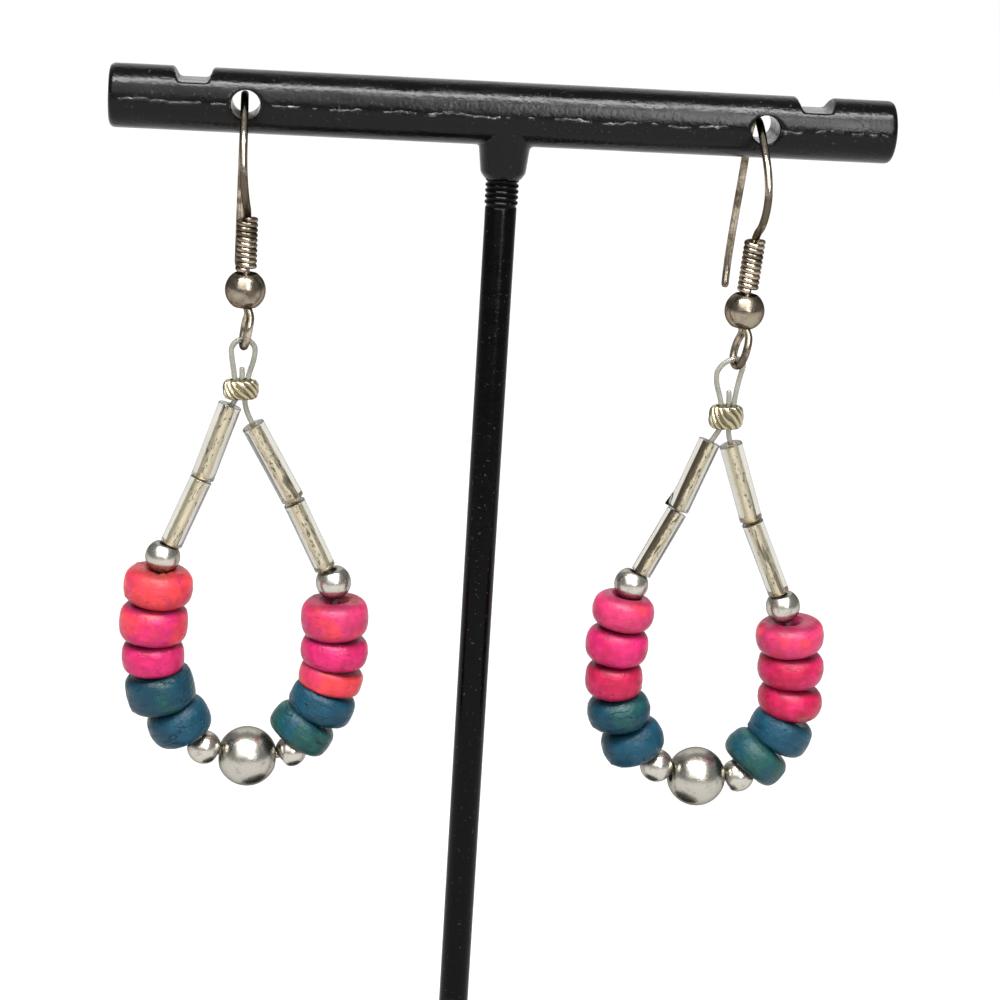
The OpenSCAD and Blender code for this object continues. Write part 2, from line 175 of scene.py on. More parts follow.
class StageSettings(bpy.types.PropertyGroup):
    lens: number("Lens", "Focal length of the camera", 86.4, unit="CAMERA")
    yaw: number("Camera Turn", "Turn of the camera to the right", radians(5.46), subtype="ANGLE")
    pitch: number("Camera Dip", "How far the camera looks down", radians(17.02), subtype="ANGLE")
    roll: number("Camera Roll", "Tilt of the camera about its own axis", radians(-3.55),
                 subtype="ANGLE")
    place: FloatVectorProperty(
        name="Camera Place", description="Place of the camera from the middle of the bar",
        default=(-0.0184, -0.2085, 0.029), subtype="TRANSLATION")
    sky: number("Sky", "Strength of the even light all round", 0.30, min=0)
    daylight: number("Daylight", "Strength of the wide soft light from above", 0.35, min=0)
    window: number("Window", "Power of the soft light over the camera", 6.6, unit="POWER")
    strip: number("Strip Light", "Power of the light that draws the bar's gloss", 14.5,
                  unit="POWER")
    back: number("Back Light", "Power of the large pale panel behind", 10.0, unit="POWER")
    side: number("Side Light", "Power of the tall light on the right", 2.4, unit="POWER")
    floor_glow: number("Floor Glow", "Light that the pale floor gives of its own", 0.80, min=0)
    floor_shade: colour("Floor", "Colour of the pale floor", (0.20, 0.20, 0.20))


class EarringSettings(bpy.types.PropertyGroup):
    stand: PointerProperty(type=StandSettings)
    wire: PointerProperty(type=WireSettings)
    thread: PointerProperty(type=ThreadSettings)
    beads: PointerProperty(type=BeadSettings)
    stage: PointerProperty(type=StageSettings)


def settings():
    return bpy.context.scene.earrings


def shade(base, by=1.0):
    return (base[0] * by, base[1] * by, base[2] * by, 1.0)


class Nodes:
    """Adds nodes to a tree and gives back the sockets that carry what they work out."""

    def __init__(self, tree):
        self.tree = tree

    def node(self, kind, props=None, **values):
        """One node, its properties set and its inputs set or linked by name or number."""
        made = self.tree.nodes.new(kind)
        for name, value in (props or {}).items():
            setattr(made, name, value)
        for name, value in values.items():
            numbered = name[0] == "i" and name[1:].isdigit()
            socket = made.inputs[int(name[1:]) if numbered else name.replace("_", " ")]
            if isinstance(value, bpy.types.NodeSocket):
                self.tree.links.new(value, socket)
            else:
                socket.default_value = value
        return made

    def maths(self, operation, a, b=0.0):
        return self.node("ShaderNodeMath", {"operation": operation}, i0=a, i1=b).outputs[0]

    def plus(self, a, b):
        return self.maths("ADD", a, b)

    def minus(self, a, b):
        return self.maths("SUBTRACT", a, b)

    def times(self, a, b):
        return self.maths("MULTIPLY", a, b)

    def larger(self, a, b):
        return self.maths("MAXIMUM", a, b)

    def from_half(self, value):
        """How far a noise is from its middle value, which is small along thin lines."""
        return self.maths("ABSOLUTE", self.minus(value, 0.5))

    def vectors(self, operation, a, output=0, **values):
        made = self.node("ShaderNodeVectorMath", {"operation": operation}, i0=a, **values)
        return made.outputs[output]

    def stretched(self, vector, x, y, z):
        return self.vectors("MULTIPLY", vector, i1=(x, y, z))

    def across(self, vector):
        """Distance from the piece's own axis."""
        return self.vectors("LENGTH", self.stretched(vector, 1, 1, 0), output=1)

    def split(self, vector):
        return self.node("ShaderNodeSeparateXYZ", Vector=vector).outputs

    def joined(self, x, y, z):
        return self.node("ShaderNodeCombineXYZ", X=x, Y=y, Z=z).outputs[0]

    def band(self, value, low, high, out_low=0.0, out_high=1.0):
        """A value stretched from low..high to out_low..out_high, smoothly and clamped."""
        made = self.node("ShaderNodeMapRange", {"interpolation_type": "SMOOTHSTEP"},
                         Value=value, From_Min=low, From_Max=high, To_Min=out_low,
                         To_Max=out_high)
        return made.outputs["Result"]

    def noise(self, vector, scale, detail=3.0, rough=0.5):
        return self.node("ShaderNodeTexNoise", Vector=vector, Scale=scale, Detail=detail,
                         Roughness=rough).outputs[0]


class Finish(Nodes):
    """A material in the making, its constant values set on the shader's own sockets."""

    def __init__(self, name, **values):
        self.made = bpy.data.materials.new(name)
        self.made.use_nodes = True
        super().__init__(self.made.node_tree)
        self.shader = self.tree.nodes["Principled BSDF"]
        for key, value in values.items():
            self.shader.inputs[key.replace("_", " ")].default_value = value

    def object_space(self):
        return self.node("ShaderNodeTexCoord").outputs["Object"]

    def object_mm(self):
        """Millimetres from the stand's foot, because every piece sits at the origin."""
        return self.stretched(self.object_space(), TO_MM, TO_MM, TO_MM)

    def turned_mm(self):
        """Millimetres in the piece's own frame, kept on its mesh as it was turned."""
        return self.attribute("turned", "Vector")

    def attribute(self, name, output="Fac"):
        return self.node("ShaderNodeAttribute", {"attribute_name": name}).outputs[output]

    def mix(self, factor, a, b):
        """Colour b over colour a."""
        return self.node("ShaderNodeMix", {"data_type": "RGBA"}, i0=factor, i6=a, i7=b).outputs[2]

    def painted_edge_shade(self, base, dark):
        """Painted shade: glass or nylon is darkened where its surface turns away from the view,
        standing in for its darker thick edges.
        """
        edge = self.node("ShaderNodeLayerWeight", Blend=0.5).outputs["Facing"]
        far = self.band(edge, 0.42, 0.93)
        return self.mix(far, base, self.vectors("SCALE", base, Scale=dark))

    def done(self, base, rough=None, relief=None, depth=0.0):
        """Gives the shader its colour, roughness and relief, and returns the material."""
        self.tree.links.new(base, self.shader.inputs["Base Color"])
        if rough is not None:
            self.tree.links.new(rough, self.shader.inputs["Roughness"])
        if relief is not None:
            made = self.node("ShaderNodeBump", Height=relief, Distance=depth, Strength=1.0)
            self.tree.links.new(made.outputs[0], self.shader.inputs["Normal"])
        return self.made


# Materials: m is the finish in the making and mm the place on the piece in millimetres

def black_paint(name, shine, wave, depth):
    """Black paint: cloudy gloss, specks of dust, fine peel and longer waves along the bar."""
    s = settings().stand
    m = Finish(name, Specular_IOR_Level=shine)
    mm = m.object_mm()
    cloudy = m.noise(m.stretched(mm, 0.25, 1, 1), 0.9, 4.0, 0.6)
    specks = m.band(m.noise(mm, 3.2, 2.0), 0.66, 0.74)
    waves = m.noise(m.stretched(mm, 0.5, 1, 1), 0.55, 3.0)
    peel = m.plus(m.noise(mm, 2.4, 4.0, 0.6), m.times(waves, wave))
    return m.done(m.mix(specks, shade(s.black), (0.02, 0.02, 0.022, 1)),
                  m.band(cloudy, 0.3, 0.7, s.gloss * 0.7, s.gloss * 1.5), peel, depth)


def seam_plastic():
    """The same black on the seam where it was torn from the mould: rougher, with pale patches that
    are painted glints.
    """
    m = Finish("seam_plastic", Specular_IOR_Level=0.32, Roughness=0.26)
    mm = m.object_mm()
    glint_patches = m.band(m.noise(m.stretched(mm, 1.2, 1, 1), 1.3, 3.0), 0.58, 0.68)
    base = m.mix(glint_patches, shade(settings().stand.black), (0.14, 0.136, 0.13, 1))
    return m.done(base, relief=m.noise(mm, 6.0, 3.0, 0.7), depth=0.06 * MM)


def tarnished_wire():
    """Nickel silver in tarnish patches; its front leg is darker just above the coil and clean near
    the bar, a painted highlight.
    """
    s = settings().wire
    m = Finish("tarnished_wire", Metallic=1.0, Specular_Tint=(0.3, 0.28, 0.26, 1))
    mm = m.object_mm()
    spot = m.split(mm)
    # Down the front leg: darker just above the coil, and less tarnish near the bar as a painted
    # highlight where the leg catches the light
    leg_dark_and_painted_glint = m.plus(m.band(spot["Z"], 105.3, 106.2, 0.0, 0.15),
                 m.band(spot["Z"], 109.0, 111.0, 0.0, -0.32))
    front = m.times(leg_dark_and_painted_glint, m.band(spot["Y"], -1.0, 1.0, 1.0, 0.0))
    tarnish_and_painted_glint = m.plus(m.noise(mm, 0.55, 5.0, 0.65), m.plus(front, 0.04))
    patches = m.band(tarnish_and_painted_glint, 0.36, 0.66)
    return m.done(m.mix(patches, shade(s.bright), shade(s.tarnish)),
                  m.band(patches, 0, 1, 0.12, 0.30), m.noise(mm, 6.0, 4.0, 0.6), 0.012 * MM)


def tarnished_ball():
    """The same metal on the balls, with dirt round their holes."""
    s = settings().wire
    m = Finish("tarnished_ball", Metallic=1.0, Specular_Tint=(0.3, 0.28, 0.26, 1))
    mm = m.turned_mm()
    patches = m.band(m.noise(mm, 0.9, 6.0, 0.6), 0.38, 0.70)
    darkened = m.larger(patches, m.band(m.across(mm), 0.95, 1.45, 0.75, 0.0))
    return m.done(m.mix(darkened, shade(s.bright, 0.58), shade(s.tarnish, 0.9)),
                  m.band(darkened, 0, 1, 0.16, 0.38), m.noise(mm, 3.0, 5.0, 0.6), 0.02 * MM)


def bright_plating(name, by):
    """Silver plating, dulled in patches and round the holes."""
    s = settings().beads
    m = Finish(name, Metallic=1.0, Specular_Tint=(0.35, 0.34, 0.32, 1))
    mm = m.turned_mm()
    worn = m.band(m.noise(mm, 1.3, 5.0, 0.6), 0.52, 0.75)
    dull = m.larger(worn, m.band(m.across(mm), 0.85, 1.25, 0.6, 0.0))
    return m.done(m.mix(dull, shade(s.bright, by), shade(s.bright, 0.68 * by)),
                  m.band(dull, 0, 1, 0.27, 0.42), m.noise(mm, 1.6, 4.0, 0.5), 0.02 * MM)


def fluted_plating():
    """The crimp's plating, darker down in its grooves."""
    s = settings().thread
    m = Finish("fluted_plating", Metallic=1.0)
    mm = m.turned_mm()
    mottle = m.times(m.noise(mm, 2.2, 4.0, 0.6), 0.35)
    darkened = m.band(m.plus(m.attribute("groove"), mottle), 0.54, 1.0)
    return m.done(m.mix(darkened, shade(s.plating), shade(s.groove)),
                  m.band(darkened, 0, 1, 0.2, 0.5), m.noise(mm, 4.0, 4.0, 0.6), 0.03 * MM)


def nylon():
    """Cloudy nylon that lets most of the light through, with painted shade along its edges."""
    s = settings().thread
    m = Finish("nylon", Transmission_Weight=0.72, IOR=1.53)
    cloudy = m.band(m.noise(m.object_mm(), 0.8, 3.0), 0.3, 0.7)
    base = m.mix(cloudy, shade(s.nylon), shade(s.nylon, 0.82))
    return m.done(m.painted_edge_shade(base, 0.12), m.band(cloudy, 0, 1, 0.06, 0.2))


def clear_glass():
    """Clear glass with a faint smear drawn along it, and painted shade along its edges."""
    m = Finish("clear_glass", Transmission_Weight=1.0, IOR=1.5)
    smear = m.noise(m.stretched(m.turned_mm(), 1, 1, 0.2), 1.4, 3.0)
    base = m.mix(m.band(smear, 0.3, 0.8), (0.68, 0.665, 0.61, 1), (0.56, 0.545, 0.48, 1))
    return m.done(m.painted_edge_shade(base, 0.25), m.band(smear, 0.3, 0.8, 0.01, 0.05))


def silver_lining(name, stained):
    """Silver foil with thin cracks and dark blots; a dark-sided one is also darker down its left
    side.
    """
    m = Finish(name, Metallic=1.0)
    mm = m.turned_mm()
    streaks = m.noise(m.stretched(mm, 1.9, 1.9, 0.2), 1.0, 4.0, 0.5)
    specks = m.noise(m.stretched(mm, 3.0, 3.0, 1.6), 1.5, 3.0, 0.7)
    cracks = m.times(m.band(m.from_half(streaks), 0.010, 0.030, 0.9, 0.0),
                     m.band(specks, 0.47, 0.54))
    blots = m.larger(m.band(streaks, 0.60, 0.64, 0.0, 0.8), m.band(specks, 0.63, 0.67, 0.0, 0.8))
    dark = m.larger(cracks, blots)
    if stained:
        ragged = m.plus(m.split(mm)["Y"], m.times(specks, 0.5))
        dark = m.larger(dark, m.band(ragged, 0.10, 0.20, 0.9, 0.0))
    rim = m.band(m.across(mm), 0.41, 0.47)
    foil = m.mix(rim, shade(settings().beads.lining), (0.62, 0.49, 0.28, 1))
    return m.done(m.mix(dark, foil, (0.09, 0.065, 0.035, 1)), m.band(dark, 0, 1, 0.42, 0.6))


def dyed_wood(name):
    """Dyed and waxed wood: two dyes in patches, grain along the bore, pores, a darker mouth and
    painted shade at the ends where beads meet.
    """
    *dyes, patchy, dark = DYED_WOODS[name]
    main, second = (shade(getattr(settings().beads, dye)) for dye in dyes)
    m = Finish("wood_" + name, Specular_IOR_Level=0.24)
    mm = m.turned_mm()
    edge = 0.56 - 0.16 * patchy
    blots = m.band(m.noise(mm, 0.34, 4.0, 0.55), edge, edge + 0.15, 0.0, 0.95)
    base = m.mix(blots, main, second)
    mottle = m.band(m.noise(mm, 1.15, 5.0, 0.6), 0.36, 0.64, 0.55, 0.0)
    base = m.mix(mottle, base, shade(main, 0.55))
    grain = m.noise(m.stretched(mm, 0.6, 0.6, 2.4), 1.0, 5.0, 0.62)
    base = m.mix(m.band(grain, 0.53, 0.68, 0.0, dark), base, shade(main, 0.38))
    # Pores and the fine cracks called checks, which colour the wood and go down into it
    cells = m.node("ShaderNodeTexVoronoi", Vector=mm, Scale=1.5).outputs[0]
    pores = m.times(m.band(cells, 0.12, 0.26, 1.0, 0.0),
                    m.band(m.noise(mm, 0.7, 2.0), 0.55, 0.66))
    sheet = m.noise(m.stretched(mm, 0.24, 0.24, 0.95), 1.0, 2.0, 0.4)
    checks = m.times(m.band(m.from_half(sheet), 0.002, 0.014, 1.0, 0.0),
                     m.band(m.noise(mm, 0.5, 2.0), 0.48, 0.56))
    hollow = m.larger(m.times(pores, 0.4), m.times(checks, 1.1 * dark))
    base = m.mix(hollow, base, shade(main, 0.16))
    # Bared wood at a chip, then darker round the mouth, and painted shade towards the ends where
    # the beads meet
    raw = m.mix(mottle, (0.40, 0.13, 0.06, 1), (0.20, 0.03, 0.03, 1))
    base = m.mix(m.times(m.attribute("bare"), 0.85), base, raw)
    mouth = m.band(m.across(mm), 0.95, 1.6, 0.55, 0.0)
    dark_mouth_and_end_shade = m.larger(mouth, m.band(m.attribute("end"), 0.62, 1.0, 0.0, 0.75))
    base = m.mix(dark_mouth_and_end_shade, base, shade(main, 0.25))
    rough = m.plus(m.band(grain, 0.3, 0.7, 0.30, 0.48), m.times(pores, 0.2))
    peel = m.noise(mm, 2.6, 4.0, 0.6)
    relief = m.minus(m.plus(m.times(grain, 0.5), m.times(peel, 0.5)), hollow)
    return m.done(base, rough, relief, (0.085 + 0.14 * dark) * MM)


def floor_finish():
    """The pale floor, with a faint fleck."""
    s = settings().stage
    m = Finish("pale_floor", Specular_IOR_Level=0.1, Roughness=0.9, Emission_Color=(1, 1, 1, 1),
               Emission_Strength=s.floor_glow)
    fleck = m.band(m.noise(m.object_space(), 4.0, 2.0), 0.3, 0.7)
    return m.done(m.mix(fleck, shade(s.floor_shade), shade(s.floor_shade, 0.985)))


# Geometry Nodes: a lathe for whatever is turned, and a winder for coils

VECTORS = {"data_type": "FLOAT_VECTOR", "domain": "POINT"}


class Group(Nodes):
    """A tree with named inputs, which ends in smooth faces, Realize Instances and Set Material."""

    def __init__(self, name, *sockets):
        super().__init__(bpy.data.node_groups.new(name, "GeometryNodeTree"))
        face = self.tree.interface
        face.new_socket("Geometry", in_out="INPUT", socket_type="NodeSocketGeometry")
        for label, kind, value in sockets:
            made = face.new_socket(label, in_out="INPUT", socket_type="NodeSocket" + kind)
            made.default_value = value
        face.new_socket("Material", in_out="INPUT", socket_type="NodeSocketMaterial")
        face.new_socket("Geometry", in_out="OUTPUT", socket_type="NodeSocketGeometry")
        self.given = self.tree.nodes.new("NodeGroupInput").outputs
        self.out = self.tree.nodes.new("NodeGroupOutput")

    def geometry(self, kind, props=None, **values):
        return self.node("GeometryNode" + kind, props, **values).outputs[0]

    def close(self, geometry):
        smooth = self.geometry("SetShadeSmooth", Geometry=geometry)
        real = self.geometry("RealizeInstances", Geometry=smooth)
        painted = self.geometry("SetMaterial", Geometry=real, Material=self.given["Material"])
        self.tree.links.new(painted, self.out.inputs[0])
        return self.tree


def lathe_tree():
    """Turns the points of a closed profile, r along X and height along Z, about the Z axis."""
    if "Lathe" in bpy.data.node_groups:
        return bpy.data.node_groups["Lathe"]
    g = Group("Lathe", ("Steps", "Int", 64), ("Unevenness", "Float", 0.0),
              ("Lump Size", "Float", 2.0), ("Nick Depth", "Float", 0.0), ("Seed", "Int", 1))
    outline, steps = g.given["Geometry"], g.given["Steps"]
    # A sheet with a row for each point of the profile and a column for each step of the turn
    size = g.node("GeometryNodeAttributeDomainSize", Geometry=outline).outputs["Point Count"]
    last = g.minus(size, 1.0)
    sheet = g.geometry("MeshGrid", i0=last, i1=steps, i2=size, i3=g.plus(steps, 1.0))
    spot = g.split(g.geometry("InputPosition"))
    row = g.maths("ROUND", g.plus(spot["X"], g.maths("DIVIDE", last, 2.0)))
    part = g.plus(g.maths("DIVIDE", spot["Y"], steps), 0.5)
    angle = g.times(part, 2 * pi)
    point = g.split(g.geometry("SampleIndex", VECTORS, Geometry=outline,
                               Value=g.geometry("InputPosition"), Index=row))
    turned_to = g.joined(g.times(point["X"], g.maths("COSINE", angle)),
                         g.times(point["X"], g.maths("SINE", angle)), point["Z"])
    closed = g.geometry("MergeByDistance", Distance=1e-7,
                        Geometry=g.geometry("SetPosition", Geometry=sheet, Position=turned_to))
    # Millimetres in the piece's own frame, moved on for each seed
    own = g.vectors("ADD", g.stretched(g.geometry("InputPosition"), TO_MM, TO_MM, TO_MM),
                    i1=g.joined(0.0, 0.0, g.times(g.given["Seed"], 13.7)))
    kept = g.geometry("StoreNamedAttribute", VECTORS, Geometry=closed, Name="turned", Value=own)
    # Lumps swell the surface either way, and nicks cut into it
    lump_scale = g.maths("DIVIDE", 1.0, g.given["Lump Size"])
    lumps = g.noise(g.vectors("SCALE", own, Scale=lump_scale), 1.0, 2.0)
    swell = g.times(g.minus(lumps, 0.5), g.times(g.given["Unevenness"], 2.0))
    nicks = g.band(g.noise(g.stretched(own, 0.9, 0.9, 0.9), 1.0, 3.0), 0.62, 0.74)
    out_by = g.minus(swell, g.times(nicks, g.given["Nick Depth"]))
    push = g.vectors("SCALE", g.geometry("InputNormal"), Scale=out_by)
    return g.close(g.geometry("SetPosition", Geometry=kept, Offset=push))


def winder_tree():
    """Winds a wire round the Z axis, with the origin at the coil's middle."""
    if "Winder" in bpy.data.node_groups:
        return bpy.data.node_groups["Winder"]
    g = Group("Winder", ("Turns", "Float", 10.0), ("Radius", "Float", 0.6 * MM),
              ("Height", "Float", 4 * MM), ("Wire", "Float", 0.2 * MM))
    radius, height = g.given["Radius"], g.given["Height"]
    path = g.geometry("CurveSpiral", Resolution=28, Rotations=g.given["Turns"],
                      Start_Radius=radius, End_Radius=radius, Height=height)
    ring = g.geometry("CurvePrimitiveCircle", {"mode": "RADIUS"}, Resolution=12,
                      Radius=g.given["Wire"])
    wound = g.geometry("CurveToMesh", Curve=path, Profile_Curve=ring, Fill_Caps=True)
    down = g.joined(0.0, 0.0, g.maths("DIVIDE", height, -2.0))
    return g.close(g.geometry("Transform", Geometry=wound, Translation=down))


# Tools for making pieces

def add_object(name, data):
    made = bpy.data.objects.new(name, data)
    bpy.context.scene.collection.objects.link(made)
    return made


def new_mesh(name, verts, faces, material):
    mesh = bpy.data.meshes.new(name)
    mesh.from_pydata(verts, [], faces)
    mesh.materials.append(material)
    return mesh


def rework(mesh, change):
    """Opens a mesh for editing, changes it and writes it back."""
    work = bmesh.new()
    work.from_mesh(mesh)
    change(work)
    work.to_mesh(mesh)
    work.free()


def joined_mesh(node):
    """A copy of a CAD node's mesh with its loose triangles joined up."""
    mesh = frame["nodes"][node].data.copy()
    mesh.materials.clear()
    rework(mesh, lambda work: bmesh.ops.remove_doubles(work, verts=work.verts, dist=1e-6))
    return mesh


def bake(name, mesh, build):
    """Adds modifiers with build, turns the result into a plain mesh and drops them."""
    raw = add_object(name, mesh)
    build(raw)
    bpy.context.view_layer.update()
    graph = bpy.context.evaluated_depsgraph_get()
    done = bpy.data.meshes.new_from_object(raw.evaluated_get(graph))
    raw.modifiers.clear()
    raw.data = done
    done.name = name
    return raw


def run_tree(raw, tree, values):
    """Adds a tree as a modifier and sets its inputs by their sockets' identifiers."""
    added = raw.modifiers.new(tree.name, "NODES")
    added.node_group = tree
    for item in tree.interface.items_tree:
        if item.item_type == "SOCKET" and item.in_out == "INPUT" and item.name in values:
            added[item.identifier] = values[item.name]


def points_and_triangles(mesh):
    mesh.calc_loop_triangles()
    points = np.empty(len(mesh.vertices) * 3)
    mesh.vertices.foreach_get("co", points)
    corners = np.empty(len(mesh.loop_triangles) * 3, dtype=np.int64)
    mesh.loop_triangles.foreach_get("vertices", corners)
    return points.reshape(-1, 3), corners.reshape(-1, 3)


def face_outwards(mesh):
    """Flips a closed mesh that was made inside out, which shows in the sign of its volume."""
    points, corners = points_and_triangles(mesh)
    a, b, c = (points[corners[:, k]] for k in range(3))
    if np.einsum("ij,ij->i", a, np.cross(b, c)).sum() < 0:
        mesh.flip_normals()


def turned(name, profile, place, material, steps=None, uneven=0.0, lump=2.0, nick=0.0, seed=1):
    """A piece turned on the lathe tree from a closed profile of (radius, height), then placed."""
    outline = bpy.data.meshes.new(name + "_profile")
    outline.from_pydata([(r, 0, z) for r, z in profile + profile[:1]], [], [])

    def build(raw):
        run_tree(raw, lathe_tree(), {
            "Steps": steps or settings().beads.turn_steps, "Unevenness": uneven,
            "Lump Size": lump, "Nick Depth": nick, "Seed": seed, "Material": material})

    piece = bake(name, outline, build)
    face_outwards(piece.data)
    piece.data.set_sharp_from_angle(angle=SHARP)
    piece.data.transform(place)
    return piece


def draw_wire(node, material):
    """Joins up the node's own swept tube, swells it to its round size and smooths it."""
    mesh = joined_mesh(node)
    rework(mesh, lambda work: bmesh.ops.join_triangles(
        work, faces=work.faces, angle_face_threshold=0.7, angle_shape_threshold=0.7))
    mesh.materials.append(material)
    mesh.shade_smooth()

    def build(raw):
        swell = raw.modifiers.new("Swell", "DISPLACE")
        swell.mid_level = 0
        swell.strength = 0.03 * MM
        soft = raw.modifiers.new("Round", "SUBSURF")
        soft.levels = settings().wire.smooth_levels
        soft.render_levels = soft.levels

    hand_over(bake(node + "_drawn", mesh, build), node)


def mark(mesh, name, values):
    """Keeps a value for each point of a mesh, for its material."""
    mesh.attributes.new(name, "FLOAT", "POINT").data.foreach_set("value", values)


def hand_over(piece, node, replaces=True):
    """Puts a finished piece on the body of the node that it dresses."""
    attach(piece, frame["nodes"][node]["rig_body"])
    if replaces:
        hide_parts(node)


class Seat:
    """Where a turned CAD node sits: its middle, its axis and its sizes, read from the frame."""

    def __init__(self, node, long=False):
        points, corners = points_and_triangles(frame["nodes"][node].data)
        a, b, c = (points[corners[:, k]] for k in range(3))
        area = np.linalg.norm(np.cross(b - a, c - a), axis=1)
        middles = points[corners].mean(axis=1)
        centre = (middles * area[:, None]).sum(axis=0) / area.sum()
        # A long piece's axis is the way its surface spreads most, and a short one's the least
        spread = ((middles - centre) * area[:, None]).T @ (middles - centre)
        axis = np.linalg.eigh(spread)[1][:, 2 if long else 0]
        level = abs(axis[2]) <= 0.05
        if axis[0 if level else 2] < 0:
            axis = -axis
        along = (points - centre) @ axis
        self.half = (along.max() - along.min()) / 2
        self.centre = Vector(centre + axis * (along.max() + along.min()) / 2)
        self.axis = Vector(axis)
        self.radius = np.linalg.norm((points - centre) - np.outer(along, axis), axis=1).max()

    def matrix(self):
        """The seat's frame: Z along its axis and X towards the front."""
        front = Vector((0, -1, 0))
        x = (front - self.axis * self.axis.dot(front)).normalized()
        turn = Matrix((x, self.axis.cross(x), self.axis)).transposed()
        return Matrix.Translation(self.centre) @ turn.to_4x4()


def arc(cx, cz, r, start, end, steps):
    """Points of a profile along an arc, from one angle to another in degrees."""
    angles = [radians(start + (end - start) * i / steps) for i in range(steps + 1)]
    return [(cx + r * cos(a), cz + r * sin(a)) for a in angles]


def flipped(points):
    """A run of profile points turned upside down, in the opposite order."""
    return [(r, -z) for r, z in reversed(points)]


def bowed(value, power):
    """A sine or cosine bent towards a fuller oval, with its sign kept."""
    return copysign(abs(value) ** power, value)


# The makers of the pieces, each before the operator that calls it

def place_camera(context, s):
    ahead = Vector((sin(s.yaw) * cos(s.pitch), cos(s.yaw) * cos(s.pitch), -sin(s.pitch)))
    right = Vector((cos(s.yaw), -sin(s.yaw), 0))
    down = ahead.cross(right)
    x = right * cos(s.roll) + down * sin(s.roll)
    y = right * sin(s.roll) - down * cos(s.roll)
    turn = Matrix((x, y, -ahead)).transposed().to_4x4()
    data = bpy.data.cameras.new("Camera")
    data.lens = s.lens
    data.sensor_width = 36
    data.clip_start = 0.01
    made = add_object("Camera", data)
    made.matrix_world = Matrix.Translation(Vector(s.place) + Vector((0, 0, BAR_Z))) @ turn
    context.scene.camera = made


def lay_floor():
    reach = 4
    corners = [(x * reach, y * reach, 0) for x, y in ((-1, -1), (1, -1), (1, 1), (-1, 1))]
    mesh = new_mesh("floor", corners, [(0, 1, 2, 3)], floor_finish())
    add_object("floor", mesh)


def set_lights(context, s):
    world = bpy.data.worlds.new("Studio")
    world.use_nodes = True
    sky = world.node_tree.nodes["Background"]
    sky.inputs["Color"].default_value = (0.93, 0.96, 1.0, 1)
    sky.inputs["Strength"].default_value = s.sky
    context.scene.world = world
    aim = Vector((0, 0, BAR_Z - 0.03))
    for name, place, size, power in (
            ("window", (-0.08, -0.64, 0.64), (1.20, 0.85), s.window),
            ("strip", (-0.05, -0.30, 0.86), (0.80, 0.14), s.strip),
            ("back", (0.0, 1.70, 1.00), (1.80, 1.80), s.back),
            ("side", (0.16, -0.55, 0.42), (0.10, 0.46), s.side)):
        data = bpy.data.lights.new(name, "AREA")
        data.shape = "RECTANGLE"
        data.size, data.size_y = size
        made = add_lamp(data, power, aim - Vector(place))
        made.location = place
        made.visible_camera = False
    data = bpy.data.lights.new("daylight", "SUN")
    data.angle = radians(40)
    add_lamp(data, s.daylight, Vector((0.35, 0.75, -1)))


def add_lamp(data, power, towards):
    data.energy = power
    made = add_object(data.name, data)
    made.rotation_euler = towards.to_track_quat("-Z", "Y").to_euler()
    return made


class EARRINGS_OT_stage(bpy.types.Operator):
    """Makes the camera, the pale floor and the soft studio light"""
    bl_idname = "earrings.stage"
    bl_label = "Stage"

    def execute(self, context):
        s = settings().stage
        context.scene.view_settings.view_transform = "Standard"
        place_camera(context, s)
        lay_floor()
        set_lights(context, s)
        return {"FINISHED"}


def make_bar(paint):
    def build(raw):
        grid = raw.modifiers.new("Remesh", "REMESH")
        grid.mode = "VOXEL"
        grid.voxel_size = settings().stand.bar_voxel
        grid.use_smooth_shade = True
        ease = raw.modifiers.new("Ease", "SMOOTH")
        ease.factor = 0.5
        ease.iterations = 6

    piece = bake("bar", joined_mesh("t_bar"), build)
    piece.data.materials.append(paint)
    hand_over(piece, "t_bar")


def make_flash(plastic):
    """The ragged line of plastic that the mould's halves left along the bar."""
    seam = settings().stand.seam
    step, end_gap, hole_gap = 0.12 * MM, 0.9 * MM, 1.9 * MM
    # Half its width, how deep its sides are rooted, and how far its crest is off the middle
    wide, root, crest = 0.22 * MM, -0.05 * MM, 0.03 * MM
    # Waves in each metre, and how much finer its height and its jitter are
    waves, finer, finest = 300, 4.1, 6.3
    reach = (BAR_HIGH.x - BAR_LOW.x) / 2 - end_gap
    count = int(2 * reach / step)
    holes = [sum(corner.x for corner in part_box(side + "_ear_hook")) / 2 for side in SIDES]
    verts, faces = [], []
    for way in (-1, 1):
        run = []
        for k in range(count + 2):
            x = -reach + k * step
            spot = Vector((x * waves, way * 7.0, 0))
            tall = seam * (0.5 + 2.2 * noise.noise(spot * finer))
            rise = 0.28 * MM * noise.noise(spot) + 0.13 * MM * noise.noise(spot * finest)
            broken = k > count or tall < 0.1 * seam
            if broken or any(abs(x - hole) < hole_gap for hole in holes):
                close_run(faces, run)
                run = []
                continue
            run.append(len(verts))
            for dz, out in ((-wide, root), (crest, tall), (wide, root)):
                z = rise + dz
                y = sqrt((BAR_RADIUS + out) ** 2 - z * z)
                verts.append((x, way * y, BAR_Z + z))
    mesh = new_mesh("bar_flash", verts, faces, plastic)
    rework(mesh, lambda work: bmesh.ops.recalc_face_normals(work, faces=work.faces))
    hand_over(add_object("bar_flash", mesh), "t_bar", replaces=False)


def close_run(faces, run):
    """Three-cornered lengths from one cut to the next, with a cap at each end."""
    if len(run) < 2:
        return
    for here, after in zip(run, run[1:]):
        for a, b in ((0, 1), (1, 2), (2, 0)):
            faces.append((here + a, here + b, after + b, after + a))
    for cut in (run[0], run[-1]):
        faces.append((cut, cut + 1, cut + 2))


